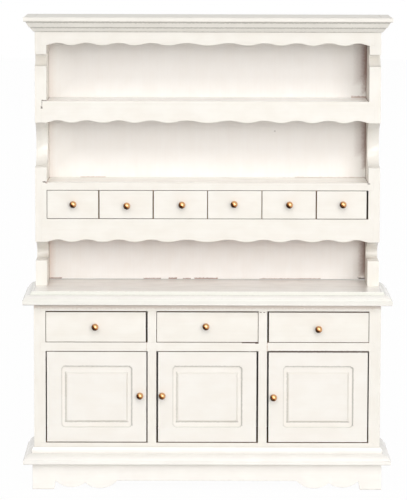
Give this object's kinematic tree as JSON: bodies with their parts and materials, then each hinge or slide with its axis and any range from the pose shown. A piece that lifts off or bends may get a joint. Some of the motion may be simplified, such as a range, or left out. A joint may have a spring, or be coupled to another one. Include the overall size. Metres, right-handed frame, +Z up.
{
  "type": "hutch cabinet",
  "caption": "Dolls' house plate dresser in painted wood: shelves and small drawers above a counter, larger drawers over panelled doors on a bracket plinth.",
  "frame": {"origin": "on the floor, at the middle of the footprint's box", "axes": "+X to the right seen from the front, +Y to the back, +Z up"},
  "size_m": [0.1482, 0.0438, 0.1896],
  "materials": {
    "painted_wood": "warm white paint brushed on fine-grained wood, satin, worn thin in corners",
    "bare_wood": "unpainted pale wood, sanded",
    "brass": "turned and polished, slightly tarnished at the neck",
    "pin_steel": "drawn wire, dull"
  },
  "bodies": {
    "cabinet": {"base_side_left": "painted_wood", "base_side_right": "painted_wood", "base_back": "painted_wood", "base_floor": "bare_wood", "base_top_rail": "painted_wood", "base_middle_rail": "painted_wood", "base_bottom_rail": "painted_wood", "base_stiles": "painted_wood", "base_partitions": "bare_wood", "drawer_shelves": "bare_wood", "plinth_aprons": "painted_wood", "plinth_moulding": "painted_wood", "counter_top": "painted_wood", "counter_moulding": "painted_wood", "hutch_side_left": "painted_wood", "hutch_side_right": "painted_wood", "hutch_back": "painted_wood", "hutch_top": "painted_wood", "crown_moulding": "painted_wood", "frieze_rail": "painted_wood", "upper_shelf": "painted_wood", "upper_shelf_rail": "painted_wood", "drawer_case_top": "painted_wood", "drawer_case_bottom": "painted_wood", "drawer_case_apron": "painted_wood", "drawer_case_dividers": "bare_wood", "door_pins": "pin_steel"},
    "small_drawer_1": {"small_drawer_1_front": "painted_wood", "small_drawer_1_box": "bare_wood", "small_drawer_1_knob": "brass"},
    "small_drawer_2": {"small_drawer_2_front": "painted_wood", "small_drawer_2_box": "bare_wood", "small_drawer_2_knob": "brass"},
    "small_drawer_3": {"small_drawer_3_front": "painted_wood", "small_drawer_3_box": "bare_wood", "small_drawer_3_knob": "brass"},
    "small_drawer_4": {"small_drawer_4_front": "painted_wood", "small_drawer_4_box": "bare_wood", "small_drawer_4_knob": "brass"},
    "small_drawer_5": {"small_drawer_5_front": "painted_wood", "small_drawer_5_box": "bare_wood", "small_drawer_5_knob": "brass"},
    "small_drawer_6": {"small_drawer_6_front": "painted_wood", "small_drawer_6_box": "bare_wood", "small_drawer_6_knob": "brass"},
    "drawer_left": {"drawer_left_front": "painted_wood", "drawer_left_box": "bare_wood", "drawer_left_knob": "brass"},
    "drawer_middle": {"drawer_middle_front": "painted_wood", "drawer_middle_box": "bare_wood", "drawer_middle_knob": "brass"},
    "drawer_right": {"drawer_right_front": "painted_wood", "drawer_right_box": "bare_wood", "drawer_right_knob": "brass"},
    "door_left": {"door_left_leaf": "painted_wood", "door_left_knob": "brass"},
    "door_middle": {"door_middle_leaf": "painted_wood", "door_middle_knob": "brass"},
    "door_right": {"door_right_leaf": "painted_wood", "door_right_knob": "brass"}
  },
  "joints": [
    {"name": "small_drawer_1_slide", "type": "slide", "parent": "cabinet", "child": "small_drawer_1", "axis": [0, -1, 0], "range_m": [0, 0.014]},
    {"name": "small_drawer_2_slide", "type": "slide", "parent": "cabinet", "child": "small_drawer_2", "axis": [0, -1, 0], "range_m": [0, 0.014]},
    {"name": "small_drawer_3_slide", "type": "slide", "parent": "cabinet", "child": "small_drawer_3", "axis": [0, -1, 0], "range_m": [0, 0.014]},
    {"name": "small_drawer_4_slide", "type": "slide", "parent": "cabinet", "child": "small_drawer_4", "axis": [0, -1, 0], "range_m": [0, 0.014]},
    {"name": "small_drawer_5_slide", "type": "slide", "parent": "cabinet", "child": "small_drawer_5", "axis": [0, -1, 0], "range_m": [0, 0.014]},
    {"name": "small_drawer_6_slide", "type": "slide", "parent": "cabinet", "child": "small_drawer_6", "axis": [0, -1, 0], "range_m": [0, 0.014]},
    {"name": "drawer_left_slide", "type": "slide", "parent": "cabinet", "child": "drawer_left", "axis": [0, -1, 0], "range_m": [0, 0.026]},
    {"name": "drawer_middle_slide", "type": "slide", "parent": "cabinet", "child": "drawer_middle", "axis": [0, -1, 0], "range_m": [0, 0.026]},
    {"name": "drawer_right_slide", "type": "slide", "parent": "cabinet", "child": "drawer_right", "axis": [0, -1, 0], "range_m": [0, 0.026]},
    {"name": "door_left_hinge", "type": "hinge", "parent": "cabinet", "child": "door_left", "pos_m": [-0.06185, -0.01575, 0.01895], "axis": [0, 0, -1], "range_deg": [0, 110]},
    {"name": "door_middle_hinge", "type": "hinge", "parent": "cabinet", "child": "door_middle", "pos_m": [0.01716, -0.01575, 0.01895], "axis": [0, 0, 1], "range_deg": [0, 110]},
    {"name": "door_right_hinge", "type": "hinge", "parent": "cabinet", "child": "door_right", "pos_m": [0.06185, -0.01575, 0.01895], "axis": [0, 0, 1], "range_deg": [0, 110]}
  ]
}
